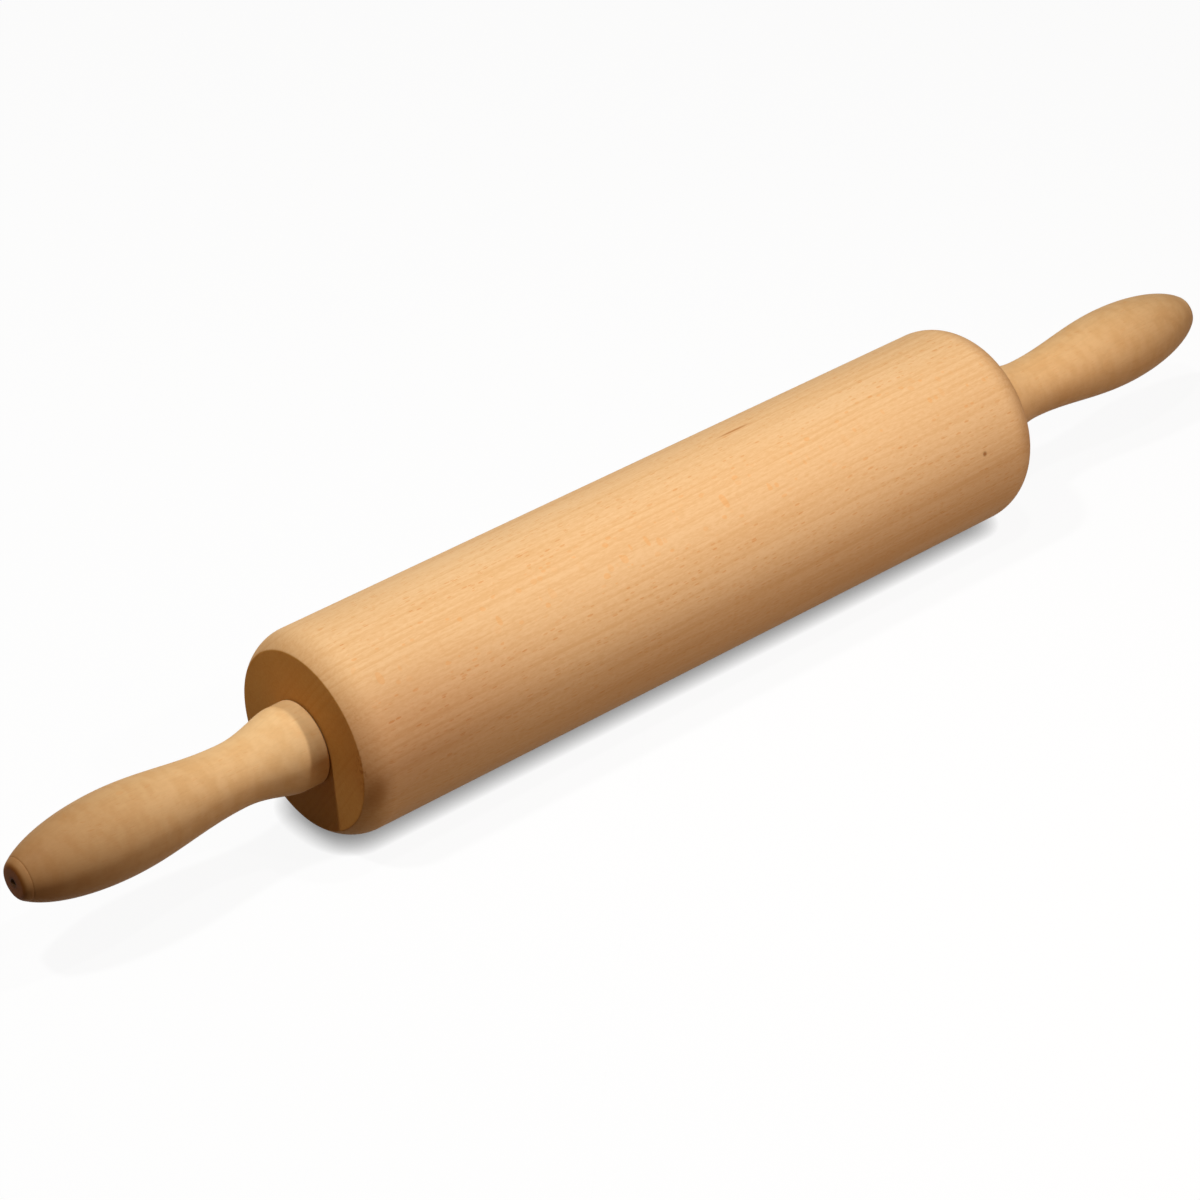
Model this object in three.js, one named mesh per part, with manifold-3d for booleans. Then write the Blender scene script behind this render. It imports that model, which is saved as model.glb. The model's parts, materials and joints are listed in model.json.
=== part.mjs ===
// Beech rolling pin. A turned roller spins on two ball bearings round a steel axle,
// and the ends of the axle are bonded into two turned handles.
// Millimetres, +Z up. The axle lies along X, and the origin is the middle of the roller.

import * as THREE from "three";
import { mergeVertices } from "three/addons/utils/BufferGeometryUtils.js";
import Module from "manifold-3d";

const wasm = await Module();
wasm.setup();

// Roller: its barrel rounds over at each end and meets a flat face at a crease
const rollerLength = 250;
const rollerRadius = 30;
const rollerEdgeLength = 8.6;
const rollerEdgeDrop = 3.6;

// Handle, from the collar beside the roller out to the tip
const handleLength = 93.3;
const collarRadius = 12.3;
const collarBand = 6.7;
const collarRounding = 0.6;
const flareSlope = 0.21;
const neckRadius = 9.15;
const neckFromCollar = 23.3;
const bellyRadius = 12.35;
const bellyFromTip = 31.8;
const tipRadius = 4.8;
const tipRounding = 0.9;
const centreHoleRadius = 1.1;
const centreHoleDepth = 3;

// Share of an S-curve's length that each end's pull takes up, for a curve like half a cosine wave
const ease = 0.364;

// Axle
const axleRadius = 4;
const axleInsert = 60;
const axleChamfer = 0.8;

// Ball bearing, 8 x 22 x 7
const bearingRadius = 11;
const bearingWidth = 7;
const bearingRecess = 1.3;
const ballCount = 7;
const ballRadius = 1.984;
const outerLandDepth = 0.58;
const innerLandDepth = 0.53;
const shieldThickness = 0.4;
const shieldInset = 0.3;
const shieldSeat = 0.7;
const cageThickness = 1.6;
const cageSpine = 0.4;
const cageReach = 1.3;

// Clearances
const fitGap = 0.05;
const runningGap = 0.4;
const ballPlay = 0.1;
const pocketPlay = 0.15;
const shieldGap = 0.25;
const axleClearance = 1;
const ringClearance = 1.2;
const reliefDepth = 3;

// Steps on round stretches
const facets = 32;
const edgeSteps = 5;
const curveSteps = 6;
const noseSteps = 8;
const cornerSteps = 2;
const grooveSteps = 5;
const ballSides = 12;
const ballRings = 8;
const pocketSides = 12;
const pocketRings = 8;

// Places that several pieces share
const rollerEnd = rollerLength / 2;
const collarPlace = rollerEnd + runningGap;
const bearingPlace = rollerEnd - bearingRecess - bearingWidth / 2;
const pitchRadius = (axleRadius + bearingRadius) / 2;
const raceRadius = ballRadius + ballPlay;
const outerLandRadius = pitchRadius + raceRadius - outerLandDepth;
const innerLandRadius = pitchRadius - raceRadius + innerLandDepth;
const shieldRadius = outerLandRadius + shieldSeat;
const shieldOuterFace = bearingWidth / 2 - shieldInset;
const shieldInnerFace = shieldOuterFace - shieldThickness;

const rollerBeech = new THREE.MeshStandardMaterial({ color: 0xe4b27d, roughness: 0.6 });
const handleBeech = new THREE.MeshStandardMaterial({ color: 0xd6a772, roughness: 0.5 });
const axleSteel = new THREE.MeshStandardMaterial({ color: 0xb9bcc0, roughness: 0.35, metalness: 1 });
const bearingSteel = new THREE.MeshStandardMaterial({ color: 0xcfd1d4, roughness: 0.15, metalness: 1 });
const nylon = new THREE.MeshStandardMaterial({ color: 0xefeae0, roughness: 0.6 });

function piece(name, geometry, material) {
  const mesh = new THREE.Mesh(geometry, material);
  mesh.name = name;
  return mesh;
}

// A point of a turned outline
function at(radius, along) {
  return new THREE.Vector2(radius, along);
}

// An outline turned round the X axis, with one facet lying flat underneath
function turned(outline) {
  const distinct = outline.filter((p, i) => i === 0 || !p.equals(outline[i - 1]));
  const geometry = new THREE.LatheGeometry(distinct, facets, Math.PI / facets);
  return geometry.rotateZ(-Math.PI / 2);
}

// A turned outline that closes on itself, for pieces with a hole right through
function turnedLoop(outline) {
  return turned([...outline, outline[0].clone()]);
}

// A plain ring between two radii and two places along the axis
function ring(inner, outer, start, end) {
  return turnedLoop([at(outer, start), at(outer, end), at(inner, end), at(inner, start)]);
}

// An arc across the bearing about a ball's centre, between the two edges of a land
function raceArc(landRadius, side) {
  const edgeAngle = Math.acos(Math.abs(landRadius - pitchRadius) / raceRadius);
  const middle = side > 0 ? 0 : Math.PI;
  const arc = new THREE.EllipseCurve(
    pitchRadius, 0, raceRadius, raceRadius, middle + edgeAngle, middle - edgeAngle, true);
  return arc.getPoints(grooveSteps);
}

function rollerGeometry() {
  const arcRadius = (rollerEdgeLength ** 2 + rollerEdgeDrop ** 2) / (2 * rollerEdgeDrop);
  const arcAngle = 2 * Math.atan2(rollerEdgeDrop, rollerEdgeLength);
  const edge = new THREE.EllipseCurve(
    rollerRadius - arcRadius, rollerEnd - rollerEdgeLength, arcRadius, arcRadius, 0, arcAngle);
  const seatRadius = bearingRadius + fitGap;
  const seatFloor = bearingPlace - bearingWidth / 2 - fitGap;
  const reliefRadius = innerLandRadius + ringClearance;
  const reliefFloor = seatFloor - reliefDepth;
  const rightHalf = [
    ...edge.getPoints(edgeSteps),
    at(seatRadius, rollerEnd),
    at(seatRadius, seatFloor),
    at(reliefRadius, seatFloor),
    at(reliefRadius, reliefFloor),
    at(axleRadius + axleClearance, reliefFloor),
  ];
  const leftHalf = rightHalf.map((p) => at(p.x, -p.y)).reverse();
  return turnedLoop([...rightHalf, ...leftHalf]);
}

function axleGeometry() {
  const end = collarPlace + axleInsert - fitGap;
  return turned([
    at(0, -end),
    at(axleRadius - axleChamfer, -end),
    at(axleRadius, axleChamfer - end),
    at(axleRadius, end - axleChamfer),
    at(axleRadius - axleChamfer, end),
    at(0, end),
  ]);
}

// The outside of a handle from its collar face at zero out to the edge of its end disc
function handleOutside() {
  const belly = handleLength - bellyFromTip;
  const flareEase = ease * (neckFromCollar - collarBand);
  const waistEase = ease * (belly - neckFromCollar);
  const noseLength = bellyFromTip / Math.sqrt(1 - (tipRadius / bellyRadius) ** 2);
  const noseAngle = Math.asin((bellyFromTip - tipRounding) / noseLength);
  const corner = new THREE.QuadraticBezierCurve(
    at(collarRadius - collarRounding, 0), at(collarRadius, 0), at(collarRadius, collarRounding));
  const flare = new THREE.CubicBezierCurve(
    at(collarRadius, collarBand),
    at(collarRadius - flareSlope * flareEase, collarBand + flareEase),
    at(neckRadius, neckFromCollar - flareEase),
    at(neckRadius, neckFromCollar));
  const waist = new THREE.CubicBezierCurve(
    at(neckRadius, neckFromCollar),
    at(neckRadius, neckFromCollar + waistEase),
    at(bellyRadius, belly - waistEase),
    at(bellyRadius, belly));
  const nose = new THREE.EllipseCurve(0, belly, bellyRadius, noseLength, 0, noseAngle);
  const noseEdge = nose.getPoint(1);
  const tip = new THREE.QuadraticBezierCurve(
    noseEdge, at(tipRadius, handleLength), at(tipRadius - tipRounding, handleLength));
  return [
    ...corner.getPoints(cornerSteps),
    ...flare.getPoints(curveSteps),
    ...waist.getPoints(curveSteps),
    ...nose.getPoints(noseSteps),
    ...tip.getPoints(cornerSteps),
  ];
}

function handleGeometry() {
  const boreRadius = axleRadius + fitGap;
  const handle = turned([
    at(0, axleInsert),
    at(boreRadius, axleInsert),
    at(boreRadius, 0),
    ...handleOutside(),
    at(centreHoleRadius, handleLength),
    at(0, handleLength - centreHoleDepth),
  ]);
  return handle.translate(collarPlace, 0, 0);
}

function spacerGeometry() {
  const start = bearingPlace + bearingWidth / 2 + fitGap;
  return ring(axleRadius + fitGap, innerLandRadius - fitGap, start, collarPlace - fitGap);
}

function outerRingGeometry() {
  const face = bearingWidth / 2;
  return turnedLoop([
    at(bearingRadius, -face),
    at(bearingRadius, face),
    at(shieldRadius, face),
    at(shieldRadius, shieldInnerFace - fitGap),
    at(outerLandRadius, shieldInnerFace - fitGap),
    ...raceArc(outerLandRadius, 1),
    at(outerLandRadius, fitGap - shieldInnerFace),
    at(shieldRadius, fitGap - shieldInnerFace),
    at(shieldRadius, -face),
  ]);
}

function innerRingGeometry() {
  const face = bearingWidth / 2;
  const bore = axleRadius + fitGap;
  return turnedLoop([
    at(innerLandRadius, -face),
    ...raceArc(innerLandRadius, -1),
    at(innerLandRadius, face),
    at(bore, face),
    at(bore, -face),
  ]);
}

function shieldGeometry(side) {
  const faces = [side * shieldInnerFace, side * shieldOuterFace];
  return ring(innerLandRadius + shieldGap, shieldRadius - fitGap, Math.min(...faces), Math.max(...faces));
}

// Where a ball's centre lies in the bearing's middle plane
function ballCentre(index) {
  const angle = (2 * Math.PI * index) / ballCount;
  return new THREE.Vector3(0, pitchRadius * Math.sin(angle), pitchRadius * Math.cos(angle));
}

function solidFrom(geometry) {
  const bare = geometry.clone();
  bare.deleteAttribute("normal");
  bare.deleteAttribute("uv");
  const merged = mergeVertices(bare);
  const mesh = new wasm.Mesh({
    numProp: 3,
    vertProperties: new Float32Array(merged.attributes.position.array),
    triVerts: new Uint32Array(merged.index.array),
  });
  return new wasm.Manifold(mesh);
}

function geometryFrom(solid) {
  const mesh = solid.getMesh();
  const geometry = new THREE.BufferGeometry();
  geometry.setAttribute("position", new THREE.BufferAttribute(mesh.vertProperties, 3));
  geometry.setIndex(new THREE.BufferAttribute(mesh.triVerts, 1));
  geometry.computeVertexNormals();
  return geometry;
}

// Crown cage: a ring with a round pocket for each ball, open on the side away from its spine
function cageGeometry() {
  const pocketRadius = ballRadius + pocketPlay;
  const inner = pitchRadius - cageThickness / 2;
  const outer = pitchRadius + cageThickness / 2;
  let cage = solidFrom(ring(inner, outer, -pocketRadius - cageSpine, cageReach));
  for (let index = 0; index < ballCount; index += 1) {
    const centre = ballCentre(index);
    const pocket = new THREE.SphereGeometry(pocketRadius, pocketSides, pocketRings);
    cage = cage.subtract(solidFrom(pocket.translate(centre.x, centre.y, centre.z)));
  }
  return geometryFrom(cage);
}

function ballBearing(side) {
  const bearing = new THREE.Group();
  bearing.add(piece(`${side}_outer_ring`, outerRingGeometry(), bearingSteel));
  bearing.add(piece(`${side}_inner_ring`, innerRingGeometry(), bearingSteel));
  bearing.add(piece(`${side}_inner_shield`, shieldGeometry(-1), bearingSteel));
  bearing.add(piece(`${side}_outer_shield`, shieldGeometry(1), bearingSteel));
  bearing.add(piece(`${side}_ball_cage`, cageGeometry(), nylon));
  for (let index = 0; index < ballCount; index += 1) {
    const ball = new THREE.SphereGeometry(ballRadius, ballSides, ballRings);
    const mesh = piece(`${side}_ball_${index + 1}`, ball, bearingSteel);
    mesh.position.copy(ballCentre(index));
    bearing.add(mesh);
  }
  bearing.position.x = bearingPlace;
  return bearing;
}

// Everything at one end of the roller, built on the right and turned round for the left
function pinEnd(side) {
  const end = new THREE.Group();
  end.add(piece(`${side}_handle`, handleGeometry(), handleBeech));
  end.add(piece(`${side}_spacer`, spacerGeometry(), nylon));
  end.add(ballBearing(side));
  if (side === "left") end.rotation.z = Math.PI;
  return end;
}

const rollingPin = new THREE.Group();
rollingPin.add(piece("roller", rollerGeometry(), rollerBeech));
rollingPin.add(piece("axle", axleGeometry(), axleSteel));
rollingPin.add(pinEnd("left"));
rollingPin.add(pinEnd("right"));

export default rollingPin;
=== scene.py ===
"""Looks of a turned beech rolling pin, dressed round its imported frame.

Metres, +Z up. The pin lies along X, and the origin is the middle of the roller.
Outlines are lists of (along, out) points: a place along the axis and a distance from it.
"""

import json
import math

import bmesh
import bpy
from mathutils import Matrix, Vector


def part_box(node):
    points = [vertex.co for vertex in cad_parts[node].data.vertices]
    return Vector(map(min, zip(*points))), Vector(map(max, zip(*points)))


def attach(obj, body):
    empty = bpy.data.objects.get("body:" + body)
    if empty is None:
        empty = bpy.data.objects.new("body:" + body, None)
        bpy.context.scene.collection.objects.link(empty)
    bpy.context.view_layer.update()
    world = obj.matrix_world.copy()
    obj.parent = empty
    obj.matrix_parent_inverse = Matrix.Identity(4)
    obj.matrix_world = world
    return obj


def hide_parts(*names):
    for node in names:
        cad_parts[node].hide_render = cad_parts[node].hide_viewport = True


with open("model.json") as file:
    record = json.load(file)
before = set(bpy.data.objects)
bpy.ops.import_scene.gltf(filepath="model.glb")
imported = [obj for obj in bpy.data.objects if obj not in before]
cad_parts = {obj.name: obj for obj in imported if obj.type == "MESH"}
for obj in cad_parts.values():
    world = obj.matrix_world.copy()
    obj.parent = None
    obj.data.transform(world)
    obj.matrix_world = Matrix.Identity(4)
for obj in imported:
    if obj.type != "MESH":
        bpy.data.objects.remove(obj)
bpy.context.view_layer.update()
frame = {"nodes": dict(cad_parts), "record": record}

MM = 0.001
SIDES = {"left": -1, "right": 1}

# Roller, with places from the frame
ROLLER_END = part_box("roller")[1].x
ROLLER_RADIUS = 30 * MM
ROLLER_EDGE_LENGTH = 8.6 * MM
ROLLER_EDGE_DROP = 3.6 * MM
ROLLER_CREASE = 0.35 * MM
SEAT_CHAMFER = 0.4 * MM

# Handle, from its collar beside the roller out to its tip
COLLAR_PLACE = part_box("right_handle")[0].x
HANDLE_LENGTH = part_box("right_handle")[1].x - COLLAR_PLACE
COLLAR_RADIUS = 12.3 * MM
COLLAR_BAND = 6.7 * MM
COLLAR_ROUNDING = 0.6 * MM
RIDGE_ROUNDING = 0.8 * MM
FLARE_SLOPE = 0.21
NECK_RADIUS = 9.15 * MM
NECK_FROM_COLLAR = 23.3 * MM
BELLY_RADIUS = 12.35 * MM
BELLY_FROM_TIP = 31.8 * MM
TIP_RADIUS = 4.8 * MM
TIP_ROUNDING = 0.9 * MM
CENTRE_HOLE_RADIUS = 1.1 * MM
CENTRE_HOLE_DEPTH = 3 * MM
LINE_FROM_TIP = 2.2 * MM
LINE_WIDTH = 0.5 * MM
LINE_DEPTH = 0.12 * MM
EASE = 0.364  # how far along a curve its inner control points stand, as a share of its length

# Axle and bearing seats
FIT_GAP = 0.05 * MM
AXLE_RADIUS = 4 * MM
AXLE_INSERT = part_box("axle")[1].x - COLLAR_PLACE + FIT_GAP
AXLE_CLEARANCE = 1 * MM
BEARING_RADIUS = 11 * MM
SEAT_RADIUS = BEARING_RADIUS + FIT_GAP
SEAT_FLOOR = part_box("right_outer_ring")[0].x - FIT_GAP
RELIEF_RADIUS = 7.146 * MM
RELIEF_DEPTH = 3 * MM

# Fineness of the turned meshes
TURNED_SIDES = 192
CURVE_STEPS = 32
CORNER_STEPS = 6
BARREL_STEPS = 24
CREASE_ANGLE = math.radians(32)

# Camera
CAMERA_AZIMUTH = math.radians(-40.687)
CAMERA_ELEVATION = math.radians(34.656)
CAMERA_DISTANCE = 1216.9 * MM
CAMERA_TARGET = Vector((-19.98, 0, -1.283)) * MM
CAMERA_LENS = 129.64
CAMERA_SENSOR = 36

# Stage and light
WHITE = (1, 1, 1)
FLOOR_HEIGHT = -ROLLER_RADIUS
FLOOR_SIZE = 8
FLOOR_COLOUR = (0.9, 0.9, 0.9)
FLOOR_GLOW = 0.93  # share of full white, on the floor and on the backdrop behind it
BOUNCE_COLOUR = (0.15, 0.105, 0.06)
CONTACT_REACH = 6 * MM
CONTACT_SHADE = 0.12
AMBIENT_COLOUR = (1.0, 0.78, 0.56)
AMBIENT_STRENGTH = 0.12
LAMPS = {
    "left_lamp": {"place": (-0.5, 0.12, 1.134), "power": 8.64, "size": 0.085, "tint": WHITE},
    "top_lamp": {"place": (0.024, -0.095, 0.424), "power": 0.545, "size": 0.02, "tint": WHITE},
    "front_lamp": {"place": (0.058, -0.305, 0.365), "power": 0.385, "size": 0.025, "tint": (1, 0.88, 0.86)},
    "fill_lamp": {"place": (0.12, -0.4, 0.09), "power": 0.43, "size": 0.3, "tint": (1, 0.74, 0.62)},
}

# Lie of the grain: turns about the axle, and sizes in millimetres along the fibre, across and along the rays
GRAIN_TWIST = math.radians(0.036)  # in each millimetre along the fibre
GRAIN_WANDER = (0, 2.4, 2.4)
WANDER_SIZES = (90, 30, 30)
ROLLER_GRAIN_TURN = math.radians(-120.5)
HANDLE_GRAIN_TURN = math.radians(-75)

# Growth layers, clouds, streaks and fibres, and the weight of each in the tone
LAYER_SPACING = 2.2
LAYER_DRIFT = 1.5
LAYER_SIZES = (200, 60, 3)
LAYER_RISE = (0.3, 1.0)
LAYER_CHANGE = (0.3, 0.7)
LAYER_WEIGHT = 0.3
CLOUD_SIZES = (110, 9, 9)
CLOUD_WEIGHT = 0.5
STREAK_SIZES = (40, 0.9, 0.9)
STREAK_WEIGHT = 0.7
FIBRE_SIZES = (2, 0.45, 0.45)
FIBRE_ROUGHNESS = 0.6
TONE_RANGE = (0.78, 1.57)

# Rays: their form, which of them show, and where they are flakes
RAY_SIZES = (2.6, 0.26, 7)
RAY_SPREAD = 0.5
RAY_SOFTNESS = 0.08
RAY_FAINTEST = 0.1
RAY_CHOICE = (0.2, 1.0)
RAY_BEND = (0.35, 0.1)
RAY_HOLLOW = 0.4
RAY_TINT = (0.91, 0.69, 0.5)
FLAKE_TINT = (1.02, 0.88, 0.72)
FLAKE_CUT = (0.4, 0.15)
FLAKE_CHOICE = (0.2, 0.25)
ROLLER_RAY_SHARE = 0.8
HANDLE_RAY_SHARE = 0.35

# Finish of the wood, with roughness from its hollows up to its ridges
WOOD_SPECULAR = 0.05
WOOD_BUMP = 0.04 * MM
WOOD_HEIGHTS = (0.2, 0.8)
ROLLER_BUMP_STRENGTH = 0.5
ROLLER_ROUGHNESS = (0.66, 0.54)
HANDLE_BUMP_STRENGTH = 0.25
HANDLE_ROUGHNESS = (0.6, 0.5)

# Roller's tones, its tints where the cut turns to end grain, and its marks in millimetres
ROLLER_PALE = (0.81, 0.535, 0.277)
ROLLER_DEEP = (0.738, 0.441, 0.197)
BEND_TINT = (0.865, 0.79, 0.71)
BEND_CUT = (0.0, 0.75)
ROLLER_END_TINT = (0.765, 0.585, 0.285)
ROLLER_END_CUT = (0.7, 1.0)
SPOT_CORE = 0.2
ROLLER_MARKS = {
    "mineral_streak": {"centre": (35.4, 6, 29.35), "sizes": (9, 0.75, 2), "tint": (0.7, 0.49, 0.32)},
    "pin_knot": {"centre": (103.5, -28.4, 9.7), "sizes": (1.1, 1.1, 1.1), "tint": (0.5, 0.36, 0.26)},
    "redder_end": {"centre": (-122, -28, 11), "sizes": (80, 22, 24), "tint": (0.88, 0.8, 0.77)},
    "darker_place": {"centre": (-122.5, -28, -3), "sizes": (4.2, 8, 9), "tint": (0.79, 0.7, 0.57)},
}
TEAR_PLACE = (-125, -26.5, 5)
TEAR_SIZES = (1.2, 6, 9)
TEAR_GRAIN = (0.8, 0.8, 1.2)
TEAR_SPECKS = (0.5, 0.62)
TEAR_TINT = (0.79, 0.7, 0.57)

# Handles: the place of each blank in the tree, its two tones and the tint that darkens it towards its tip
HANDLE_BLANKS = {
    "left": {
        "shift": (0, 40, 15),
        "tones": ((0.875, 0.578, 0.28), (0.83, 0.542, 0.26)),
        "tip_darkening_tint": (0.43, 0.335, 0.265),
    },
    "right": {
        "shift": (0, -25, 60),
        "tones": ((0.835, 0.532, 0.25), (0.79, 0.497, 0.23)),
        "tip_darkening_tint": (0.77, 0.75, 0.73),
    },
}
TIP_DARKENING_POWER = 1.5
HANDLE_END_TINT = (0.66, 0.46, 0.2)
HANDLE_END_CUT = (0.55, 1.0)
MOTTLE_SIZES = (3.6, 6, 6)
MOTTLE_LIMITS = (0.35, 0.7)
MOTTLE_SHARE = 0.7
MOTTLE_TINT = (0.92, 0.85, 0.76)
DISC_SIZES = (1.6, 9, 9)
DISC_TINT = (0.62, 0.52, 0.36)
# Painted shade: near black in and round the centre hole of each tip
HOLE_SHADE_SIZES = (3.5, 2.3, 2.3)
HOLE_SHADE_TINT = (0.05, 0.03, 0.02)

# Steel, with the sizes of its machining marks in millimetres
STEELS = {
    "axle_steel": {"base": (0.56, 0.57, 0.58), "roughness": (0.25, 0.4), "sizes": (6, 0.15, 0.15)},
    "bearing_steel": {"base": (0.62, 0.63, 0.64), "roughness": (0.15, 0.28), "sizes": (0.1, 2, 2)},
    "ball_steel": {"base": (0.72, 0.73, 0.74), "roughness": (0.06, 0.1), "sizes": (0.5, 0.5, 0.5)},
    "shield_steel": {"base": (0.55, 0.55, 0.56), "roughness": (0.28, 0.42), "sizes": (0.3, 0.3, 0.3)},
}
MARK_DETAIL = 3.0
MARK_TINT = (0.8, 0.8, 0.82)
MARK_LIMITS = (0.3, 0.7)
MARK_SHARE = 0.3
MARK_ROUGHNESS_LIMITS = (0.25, 0.75)
MARK_BUMP = 0.01 * MM
MARK_BUMP_STRENGTH = 0.3

# Nylon
NYLON_PALE = (0.86, 0.83, 0.75)
NYLON_DEEP = (0.8, 0.76, 0.67)
NYLON_CLOUD = (1.5, 1.5, 1.5)
NYLON_LIMITS = (0.3, 0.7)
NYLON_ROUGHNESS = (0.42, 0.55)
NYLON_BUMP = 0.01 * MM
NYLON_BUMP_STRENGTH = 0.4
NYLON_SUBSURFACE = 0.1


def arc(centre, reach, start, end, steps):
    """Points of an elliptic arc about a centre, with angles measured from straight out."""
    angles = [start + (end - start) * i / steps for i in range(steps + 1)]
    return [(centre[0] + reach[0] * math.sin(a), centre[1] + reach[1] * math.cos(a)) for a in angles]


def bezier(controls, steps):
    """Points of the Bezier curve with these control points."""
    curve = []
    for i in range(steps + 1):
        points = [Vector(c) for c in controls]
        while len(points) > 1:
            points = [a.lerp(b, i / steps) for a, b in zip(points, points[1:])]
        curve.append(tuple(points[0]))
    return curve


def turned(name, outline):
    """A piece turned round the X axis from an outline that closes on itself or on the axis."""
    shape = bmesh.new()
    rings = []
    for along, out in outline:
        points = TURNED_SIDES if out > 0 else 1
        angles = [2 * math.pi * i / TURNED_SIDES for i in range(points)]
        rings.append([shape.verts.new((along, out * math.sin(a), out * math.cos(a))) for a in angles])
    for near, far in zip(rings, rings[1:] + rings[:1]):
        for i in range(max(len(near), len(far))):
            j = i + 1
            corners = [near[i % len(near)], near[j % len(near)], far[j % len(far)], far[i % len(far)]]
            corners = list(dict.fromkeys(corners))
            if len(corners) > 2:
                shape.faces.new(corners)
    bmesh.ops.recalc_face_normals(shape, faces=shape.faces)
    mesh = bpy.data.meshes.new(name)
    shape.to_mesh(mesh)
    shape.free()
    mesh.shade_smooth()
    mesh.set_sharp_from_angle(angle=CREASE_ANGLE)
    piece = bpy.data.objects.new(name, mesh)
    bpy.context.scene.collection.objects.link(piece)
    return piece


def roller_outline():
    """Barrel, rounded edge, flat face, bearing seat and axle bore of the right half, and their mirror."""
    edge, drop = ROLLER_EDGE_LENGTH, ROLLER_EDGE_DROP
    bend = (edge**2 + drop**2) / (2 * drop)
    turn = 2 * math.atan2(drop, edge)
    crease_turn = turn - ROLLER_CREASE / bend
    centre = (ROLLER_END - edge, ROLLER_RADIUS - bend)
    rounding = arc(centre, (bend, bend), 0, crease_turn, CURVE_STEPS)
    face_radius = ROLLER_RADIUS - drop
    crease = bezier(
        [rounding[-1], (ROLLER_END, face_radius), (ROLLER_END, face_radius - ROLLER_CREASE)], CORNER_STEPS
    )
    barrel = [(centre[0] * i / BARREL_STEPS, ROLLER_RADIUS) for i in range(BARREL_STEPS)]
    seat = [
        (ROLLER_END, SEAT_RADIUS + SEAT_CHAMFER),
        (ROLLER_END - SEAT_CHAMFER, SEAT_RADIUS),
        (SEAT_FLOOR, SEAT_RADIUS),
        (SEAT_FLOOR, RELIEF_RADIUS),
        (SEAT_FLOOR - RELIEF_DEPTH, RELIEF_RADIUS),
        (SEAT_FLOOR - RELIEF_DEPTH, AXLE_RADIUS + AXLE_CLEARANCE),
    ]
    right = barrel + rounding + crease[1:] + seat
    left = [(-along, out) for along, out in reversed(right[1:])]
    return right + left


def nose_line(nose):
    """The nose with one fine line cut round it near the tip."""
    place = HANDLE_LENGTH - LINE_FROM_TIP
    half = LINE_WIDTH / 2
    before = [p for p in nose if p[0] < place - half]
    after = [p for p in nose if p[0] > place + half]
    start, end = before[-1], after[0]

    def out_at(along):
        share = (along - start[0]) / (end[0] - start[0])
        return start[1] + (end[1] - start[1]) * share

    groove = [
        (place - half, out_at(place - half)),
        (place, out_at(place) - LINE_DEPTH),
        (place + half, out_at(place + half)),
    ]
    return before + groove + after


def handle_outside():
    """From the collar's face at zero along the handle to the edge of its end disc."""
    belly = HANDLE_LENGTH - BELLY_FROM_TIP
    flare_ease = EASE * (NECK_FROM_COLLAR - COLLAR_BAND)
    waist_ease = EASE * (belly - NECK_FROM_COLLAR)
    nose_length = BELLY_FROM_TIP / math.sqrt(1 - (TIP_RADIUS / BELLY_RADIUS) ** 2)
    nose_angle = math.asin((BELLY_FROM_TIP - TIP_ROUNDING) / nose_length)
    corner = bezier(
        [(0, COLLAR_RADIUS - COLLAR_ROUNDING), (0, COLLAR_RADIUS), (COLLAR_ROUNDING, COLLAR_RADIUS)],
        CORNER_STEPS,
    )
    ridge = bezier(
        [
            (COLLAR_BAND - RIDGE_ROUNDING, COLLAR_RADIUS),
            (COLLAR_BAND, COLLAR_RADIUS),
            (COLLAR_BAND + RIDGE_ROUNDING, COLLAR_RADIUS - FLARE_SLOPE * RIDGE_ROUNDING),
        ],
        CORNER_STEPS,
    )
    flare = bezier(
        [
            ridge[-1],
            (COLLAR_BAND + flare_ease, COLLAR_RADIUS - FLARE_SLOPE * flare_ease),
            (NECK_FROM_COLLAR - flare_ease, NECK_RADIUS),
            (NECK_FROM_COLLAR, NECK_RADIUS),
        ],
        CURVE_STEPS,
    )
    waist = bezier(
        [
            (NECK_FROM_COLLAR, NECK_RADIUS),
            (NECK_FROM_COLLAR + waist_ease, NECK_RADIUS),
            (belly - waist_ease, BELLY_RADIUS),
            (belly, BELLY_RADIUS),
        ],
        CURVE_STEPS,
    )
    nose = nose_line(arc((belly, 0), (nose_length, BELLY_RADIUS), 0, nose_angle, CURVE_STEPS))
    tip = bezier(
        [nose[-1], (HANDLE_LENGTH, TIP_RADIUS), (HANDLE_LENGTH, TIP_RADIUS - TIP_ROUNDING)], CORNER_STEPS
    )
    return corner + ridge + flare[1:] + waist[1:] + nose[1:] + tip[1:]


def handle_outline(side):
    """A handle's whole outline, from the floor of its axle bore round to its centre hole."""
    bore = AXLE_RADIUS + FIT_GAP
    outline = [
        (AXLE_INSERT, 0),
        (AXLE_INSERT, bore),
        (0, bore),
        *handle_outside(),
        (HANDLE_LENGTH, CENTRE_HOLE_RADIUS),
        (HANDLE_LENGTH - CENTRE_HOLE_DEPTH, 0),
    ]
    return [(side * (COLLAR_PLACE + along), out) for along, out in outline]


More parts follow.
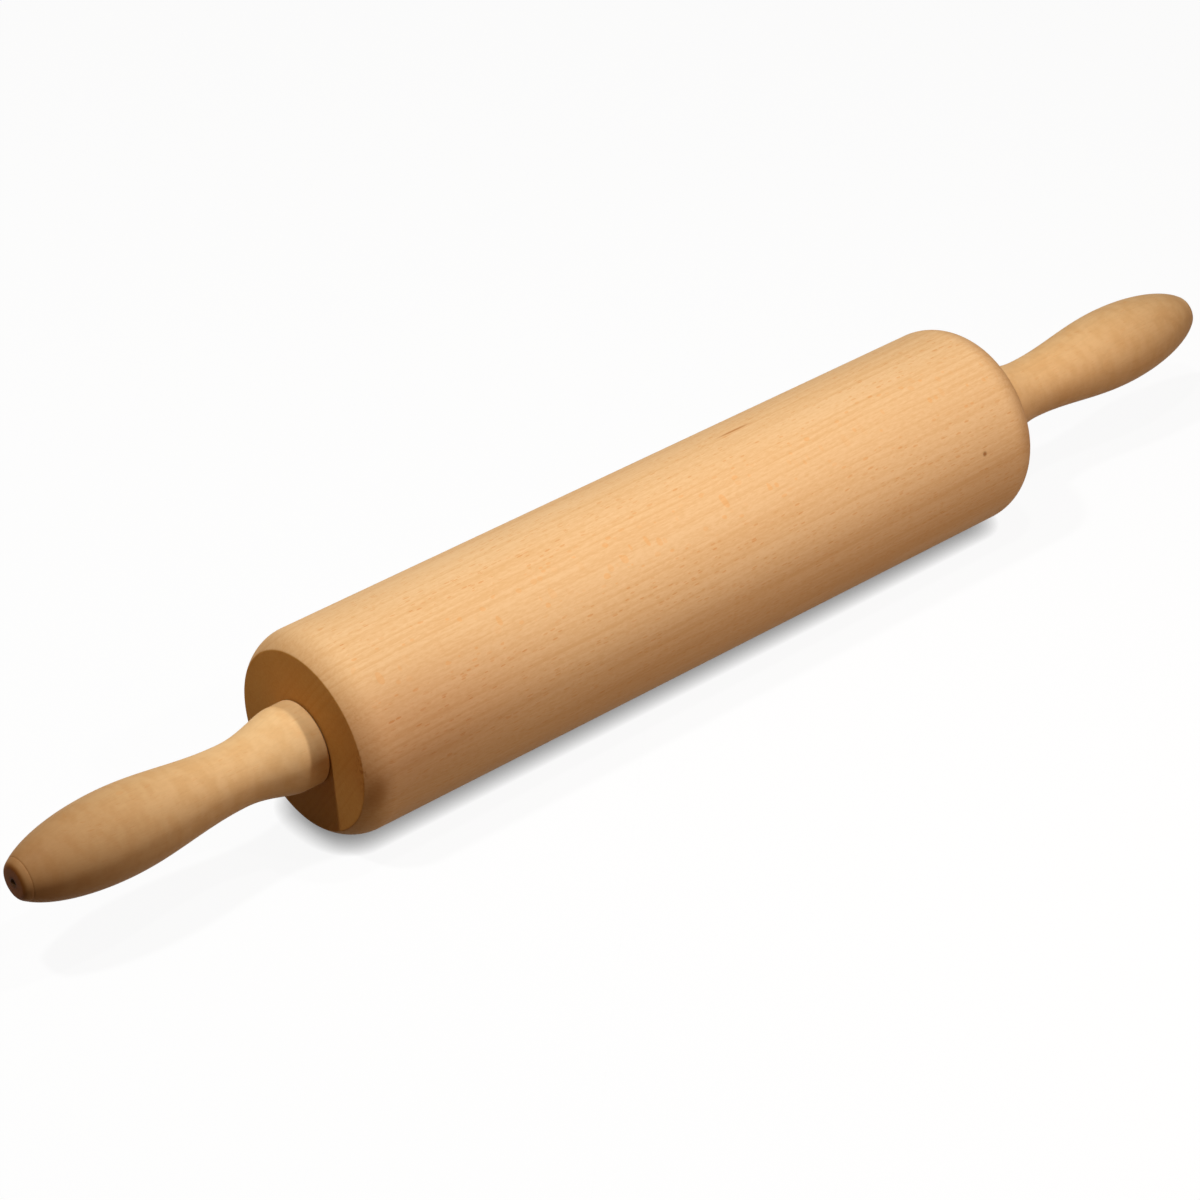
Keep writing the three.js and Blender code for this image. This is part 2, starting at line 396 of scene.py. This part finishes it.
class Graph:
    """The nodes of one material or world, with a short call for each kind that they use."""

    def __init__(self, owner):
        owner.use_nodes = True
        self.tree = owner.node_tree

    def feed(self, socket, value):
        """A link where the value comes from a node, and otherwise a plain value."""
        if isinstance(value, bpy.types.NodeSocket):
            self.tree.links.new(value, socket)
        elif socket.type == "RGBA":
            socket.default_value = (*value, 1)
        else:
            socket.default_value = value

    def node(self, kind, settings, inputs):
        made = self.tree.nodes.new(kind)
        for key, value in settings.items():
            setattr(made, key, value)
        for key, value in inputs.items():
            self.feed(made.inputs[key], value)
        return made

    def coordinate(self, kind):
        return self.node("ShaderNodeTexCoord", {}, {}).outputs[kind]

    def math(self, operation, *values):
        return self.node("ShaderNodeMath", {"operation": operation}, dict(enumerate(values))).outputs[0]

    def vector(self, operation, *values):
        made = self.node("ShaderNodeVectorMath", {"operation": operation}, dict(enumerate(values)))
        return made.outputs["Value" if operation == "LENGTH" else "Vector"]

    def part(self, vector, axis):
        return self.node("ShaderNodeSeparateXYZ", {}, {0: vector}).outputs[axis]

    def noise(self, space, detail=2.0, roughness=0.5, output=0):
        inputs = {"Vector": space, "Scale": 1.0, "Detail": detail, "Roughness": roughness}
        return self.node("ShaderNodeTexNoise", {}, inputs).outputs[output]

    def cells(self, space):
        return self.node("ShaderNodeTexVoronoi", {}, {"Vector": space, "Scale": 1.0}).outputs

    def step(self, value, low, high, start=0.0, end=1.0, shape="SMOOTHSTEP"):
        """A step from start to end as the value goes from low to high."""
        inputs = {0: value, 1: low, 2: high, 3: start, 4: end}
        return self.node("ShaderNodeMapRange", {"interpolation_type": shape}, inputs).outputs[0]

    def mix(self, share, first, second, blend="MIX"):
        settings = {"data_type": "RGBA", "blend_type": blend}
        return self.node("ShaderNodeMix", settings, {0: share, 6: first, 7: second}).outputs[2]

    def tint(self, share, colour, tint):
        return self.mix(share, colour, tint, "MULTIPLY")

    def bump(self, height, distance, strength):
        inputs = {"Strength": strength, "Distance": distance, "Height": height}
        return self.node("ShaderNodeBump", {}, inputs).outputs[0]

    def shader(self, kind, inputs):
        return self.node(kind, {}, inputs).outputs[0]

    def dress(self, inputs):
        """Set the standard shader's sockets by name."""
        surface = self.tree.nodes["Principled BSDF"]
        for key, value in inputs.items():
            self.feed(surface.inputs[key], value)

    def show(self, output, shader):
        """Give the named output a shader of its own."""
        self.feed(self.tree.nodes[output].inputs["Surface"], shader)


def millimetres(graph):
    """The piece's own space, in millimetres."""
    return graph.vector("MULTIPLY", graph.coordinate("Object"), (1 / MM, 1 / MM, 1 / MM))


def stretched(graph, space, sizes):
    """A space in which one unit has the given size along each axis."""
    return graph.vector("DIVIDE", space, sizes)


def grain_turned(graph, vector, turn):
    """A vector turned to lie along the fibre, across the rays and along the rays of twisted wood."""
    along = graph.part(millimetres(graph), 0)
    angle = graph.math("MULTIPLY_ADD", along, GRAIN_TWIST, turn)
    inputs = {"Vector": vector, "Angle": angle}
    return graph.node("ShaderNodeVectorRotate", {"rotation_type": "X_AXIS"}, inputs).outputs[0]


def grain_space(graph, turn, shift):
    """Millimetres along the fibre, across the rays and along the rays, slightly wandering."""
    place = graph.vector("ADD", millimetres(graph), shift)
    straight = grain_turned(graph, place, turn)
    wander = graph.noise(stretched(graph, straight, WANDER_SIZES), detail=1.0, output=1)
    return graph.vector("ADD", straight, graph.vector("MULTIPLY", wander, GRAIN_WANDER))


def spot(graph, centre, sizes):
    """A soft spot of the given half sizes in millimetres about a place on the piece."""
    away = graph.vector("SUBTRACT", millimetres(graph), centre)
    return graph.step(graph.vector("LENGTH", stretched(graph, away, sizes)), 1.0, SPOT_CORE)


def late_wood(graph, grain):
    """Rises through each year's growth to its dark edge, more in some years than in others."""
    uneven = graph.noise(stretched(graph, grain, LAYER_SIZES), detail=1.0)
    years = graph.math("DIVIDE", graph.part(grain, 2), LAYER_SPACING)
    year = graph.math("FRACT", graph.math("MULTIPLY_ADD", uneven, LAYER_DRIFT, years))
    return graph.math("MULTIPLY", graph.step(year, *LAYER_RISE), graph.step(uneven, *LAYER_CHANGE))


def wood_rays(graph, grain):
    """Thin lens-shaped rays: dashes along the fibre, and flakes where they lie in the surface."""
    cells = graph.cells(stretched(graph, grain, RAY_SIZES))
    edge = graph.math("MULTIPLY", graph.part(cells["Color"], 0), RAY_SPREAD)
    mask = graph.step(graph.math("SUBTRACT", edge, cells["Distance"]), 0.0, RAY_SOFTNESS)
    return mask, graph.part(cells["Color"], 1)


def normal_part(graph, turn, axis):
    """How far the surface faces along an axis of the grain."""
    normal = grain_turned(graph, graph.coordinate("Normal"), turn)
    return graph.math("ABSOLUTE", graph.part(normal, axis))


def ray_tint(graph, turn, choice):
    """Dark where rays are cut across, and for most of them orange where the cut runs along them."""
    along = graph.step(normal_part(graph, turn, 2), *FLAKE_CUT)
    flake = graph.math("MULTIPLY", along, graph.step(choice, *FLAKE_CHOICE))
    return graph.mix(flake, RAY_TINT, FLAKE_TINT)


def ray_depth(graph, turn, choice):
    """How strongly each ray shows, and none where the surface bends over."""
    own = graph.step(choice, *RAY_CHOICE, RAY_FAINTEST, 1.0)
    straight = graph.step(normal_part(graph, turn, 0), *RAY_BEND)
    return graph.math("MULTIPLY", own, straight)


def end_grain(graph, start, full):
    """How far the surface cuts across the fibre, from a start up to a full cut."""
    across = graph.math("ABSOLUTE", graph.part(graph.coordinate("Normal"), 0))
    return graph.step(across, start, full)


def beech_figure(graph, turn, shift, tones, ray_share):
    """Growth layers, streaks, fibres and rays, as a colour and as a height."""
    grain = grain_space(graph, turn, shift)
    cloud = graph.noise(stretched(graph, grain, CLOUD_SIZES))
    streaks = graph.noise(stretched(graph, grain, STREAK_SIZES))
    fibres = graph.noise(stretched(graph, grain, FIBRE_SIZES), roughness=FIBRE_ROUGHNESS)
    layers = graph.math("MULTIPLY", late_wood(graph, grain), LAYER_WEIGHT)
    broad = graph.math("MULTIPLY_ADD", cloud, CLOUD_WEIGHT, layers)
    tone = graph.math("ADD", broad, graph.math("MULTIPLY_ADD", streaks, STREAK_WEIGHT, fibres))
    wood = graph.mix(graph.step(tone, *TONE_RANGE), *tones)
    rays, choice = wood_rays(graph, grain)
    shown = graph.math("MULTIPLY", ray_depth(graph, turn, choice), ray_share)
    wood = graph.tint(graph.math("MULTIPLY", rays, shown), wood, ray_tint(graph, turn, choice))
    height = graph.math("SUBTRACT", fibres, graph.math("MULTIPLY", rays, RAY_HOLLOW))
    return wood, height


def dress_beech(graph, wood, height, roughness, bump_strength):
    """The finish that the roller and the handles share."""
    graph.dress(
        {
            "Base Color": wood,
            "Roughness": graph.step(height, *WOOD_HEIGHTS, *roughness),
            "Normal": graph.bump(height, WOOD_BUMP, bump_strength),
            "Specular IOR Level": WOOD_SPECULAR,
        }
    )


def torn_fibres(graph):
    """Small specks near one edge, where the tool tore the wood."""
    specks = graph.step(graph.noise(stretched(graph, millimetres(graph), TEAR_GRAIN)), *TEAR_SPECKS)
    return graph.math("MULTIPLY", spot(graph, TEAR_PLACE, TEAR_SIZES), specks)


def roller_beech():
    """Fine-sanded beech with its rays showing, darker end grain and a few marks."""
    material = bpy.data.materials.new("roller_beech")
    graph = Graph(material)
    tones = (ROLLER_PALE, ROLLER_DEEP)
    wood, height = beech_figure(graph, ROLLER_GRAIN_TURN, (0, 0, 0), tones, ROLLER_RAY_SHARE)
    wood = graph.tint(end_grain(graph, *BEND_CUT), wood, BEND_TINT)
    wood = graph.tint(end_grain(graph, *ROLLER_END_CUT), wood, ROLLER_END_TINT)
    for mark in ROLLER_MARKS.values():
        wood = graph.tint(spot(graph, mark["centre"], mark["sizes"]), wood, mark["tint"])
    wood = graph.tint(torn_fibres(graph), wood, TEAR_TINT)
    dress_beech(graph, wood, height, ROLLER_ROUGHNESS, ROLLER_BUMP_STRENGTH)
    return material


def tip_darkening(graph):
    """Rises from none at the collar to full at the tip."""
    along = graph.math("ABSOLUTE", graph.part(graph.coordinate("Object"), 0))
    share = graph.step(along, COLLAR_PLACE, COLLAR_PLACE + HANDLE_LENGTH, shape="LINEAR")
    return graph.math("POWER", share, TIP_DARKENING_POWER)


def handle_beech(name, side, shift, tones, tip_darkening_tint):
    """Smooth turned beech, faintly mottled, with a grip darker towards the tip and painted shade in and round
    its centre hole.
    """
    material = bpy.data.materials.new(name)
    graph = Graph(material)
    wood, height = beech_figure(graph, HANDLE_GRAIN_TURN, shift, tones, HANDLE_RAY_SHARE)
    wood = graph.tint(end_grain(graph, *HANDLE_END_CUT), wood, HANDLE_END_TINT)
    mottle = graph.noise(stretched(graph, millimetres(graph), MOTTLE_SIZES))
    wood = graph.tint(graph.step(mottle, *MOTTLE_LIMITS, 0.0, MOTTLE_SHARE), wood, MOTTLE_TINT)
    # Darker towards the tip, rising from none at the collar
    wood = graph.tint(tip_darkening(graph), wood, tip_darkening_tint)
    tip = (side * (COLLAR_PLACE + HANDLE_LENGTH) / MM, 0, 0)
    wood = graph.tint(spot(graph, tip, DISC_SIZES), wood, DISC_TINT)
    # Painted shade in and round the centre hole
    wood = graph.tint(spot(graph, tip, HOLE_SHADE_SIZES), wood, HOLE_SHADE_TINT)
    dress_beech(graph, wood, height, HANDLE_ROUGHNESS, HANDLE_BUMP_STRENGTH)
    return material


def steel(name, base, roughness, sizes):
    """Steel whose roughness and tone follow its machining marks."""
    material = bpy.data.materials.new(name)
    graph = Graph(material)
    marks = graph.noise(stretched(graph, millimetres(graph), sizes), detail=MARK_DETAIL)
    graph.dress(
        {
            "Base Color": graph.tint(graph.step(marks, *MARK_LIMITS, 0.0, MARK_SHARE), base, MARK_TINT),
            "Metallic": 1.0,
            "Roughness": graph.step(marks, *MARK_ROUGHNESS_LIMITS, *roughness),
            "Normal": graph.bump(marks, MARK_BUMP, MARK_BUMP_STRENGTH),
        }
    )
    return material


def nylon():
    """Natural moulded nylon, slightly cloudy."""
    material = bpy.data.materials.new("nylon")
    graph = Graph(material)
    cloud = graph.noise(stretched(graph, millimetres(graph), NYLON_CLOUD))
    graph.dress(
        {
            "Base Color": graph.mix(graph.step(cloud, *NYLON_LIMITS), NYLON_PALE, NYLON_DEEP),
            "Roughness": graph.step(cloud, *NYLON_LIMITS, *NYLON_ROUGHNESS),
            "Normal": graph.bump(cloud, NYLON_BUMP, NYLON_BUMP_STRENGTH),
            "Subsurface Weight": NYLON_SUBSURFACE,
        }
    )
    return material


def by_sight(graph, unseen, seen):
    """The seen shader for rays from the camera, from mirrors and through glass, and the unseen for others."""
    path = graph.node("ShaderNodeLightPath", {}, {}).outputs
    direct = path["Is Camera Ray"]
    for kind in ("Is Glossy Ray", "Is Transmission Ray"):
        direct = graph.math("MAXIMUM", direct, path[kind])
    return graph.shader("ShaderNodeMixShader", {0: direct, 1: unseen, 2: seen})


def floor_material():
    """White to the eye, darker close under the part, and a warm pale bounce to everything else."""
    material = bpy.data.materials.new("pale_floor")
    graph = Graph(material)
    open_share = graph.node("ShaderNodeAmbientOcclusion", {}, {"Distance": CONTACT_REACH}).outputs["AO"]
    level = graph.step(open_share, 0.0, 1.0, CONTACT_SHADE, 1.0, shape="LINEAR")
    glow = graph.shader("ShaderNodeEmission", {"Color": WHITE, "Strength": level})
    lit = graph.shader("ShaderNodeBsdfDiffuse", {"Color": FLOOR_COLOUR})
    shown = graph.shader("ShaderNodeMixShader", {0: FLOOR_GLOW, 1: lit, 2: glow})
    bounce = graph.shader("ShaderNodeBsdfDiffuse", {"Color": BOUNCE_COLOUR})
    graph.show("Material Output", by_sight(graph, bounce, shown))
    return material


def make_floor():
    """A wide floor that touches the roller from below."""
    bpy.ops.mesh.primitive_plane_add(size=FLOOR_SIZE, location=(0, 0, FLOOR_HEIGHT))
    floor = bpy.context.object
    floor.name = "floor"
    floor.data.materials.append(floor_material())


def make_world():
    """White where it is seen, and a weak warm ambient light otherwise."""
    world = bpy.data.worlds.new("studio")
    bpy.context.scene.world = world
    graph = Graph(world)
    ambient = graph.shader("ShaderNodeBackground", {"Color": AMBIENT_COLOUR, "Strength": AMBIENT_STRENGTH})
    backdrop = graph.shader("ShaderNodeBackground", {"Color": WHITE, "Strength": FLOOR_GLOW})
    graph.show("World Output", by_sight(graph, ambient, backdrop))


def make_lamp(name, place, power, size, tint):
    """A lamp that shines on the origin from a place."""
    lamp = bpy.data.objects.new(name, bpy.data.lights.new(name, "AREA"))
    bpy.context.scene.collection.objects.link(lamp)
    lamp.location = place
    lamp.rotation_mode = "QUATERNION"
    lamp.rotation_quaternion = (-lamp.location).to_track_quat("-Z", "Y")
    lamp.visible_camera = False
    lamp.data.energy = power
    lamp.data.size = size
    lamp.data.color = tint


def make_lights():
    """One lamp at the upper left, and three from above the middle round to the front."""
    for name, setting in LAMPS.items():
        make_lamp(name, **setting)


def make_camera():
    """A camera that looks down at its target from the front left."""
    camera = bpy.data.objects.new("camera", bpy.data.cameras.new("camera"))
    bpy.context.scene.collection.objects.link(camera)
    flat = math.cos(CAMERA_ELEVATION)
    back = Vector(
        (math.sin(CAMERA_AZIMUTH) * flat, -math.cos(CAMERA_AZIMUTH) * flat, math.sin(CAMERA_ELEVATION))
    )
    camera.location = CAMERA_TARGET + back * CAMERA_DISTANCE
    camera.rotation_mode = "QUATERNION"
    camera.rotation_quaternion = (-back).to_track_quat("-Z", "Y")
    camera.data.sensor_width = CAMERA_SENSOR
    camera.data.lens = CAMERA_LENS
    bpy.context.scene.camera = camera


def stand_for(piece, node, body, material):
    """Put a finished piece in the place of a node, on the node's body."""
    piece.data.materials.append(material)
    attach(piece, body)
    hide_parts(node)


def dress_wood():
    """The roller and the handles as finely turned pieces, in the places of their solids."""
    roller = turned("turned_roller", roller_outline())
    stand_for(roller, "roller", "roller", roller_beech())
    for name, side in SIDES.items():
        handle = turned(f"turned_{name}_handle", handle_outline(side))
        material = handle_beech(f"{name}_handle_beech", side, **HANDLE_BLANKS[name])
        stand_for(handle, f"{name}_handle", "spindle", material)


def dress_hardware():
    """Materials for the nodes that show their own solids, by the slot that the record gives them."""
    finishes = {slot: steel(slot, **look) for slot, look in STEELS.items()}
    finishes["nylon"] = nylon()
    for subpart in frame["record"]["subparts"]:
        finish = finishes.get(subpart["material_slot"])
        if finish:
            materials = frame["nodes"][subpart["node"]].data.materials
            materials.clear()
            materials.append(finish)


bpy.context.scene.view_settings.view_transform = "Standard"
make_camera()
make_world()
make_lights()
make_floor()
dress_wood()
dress_hardware()
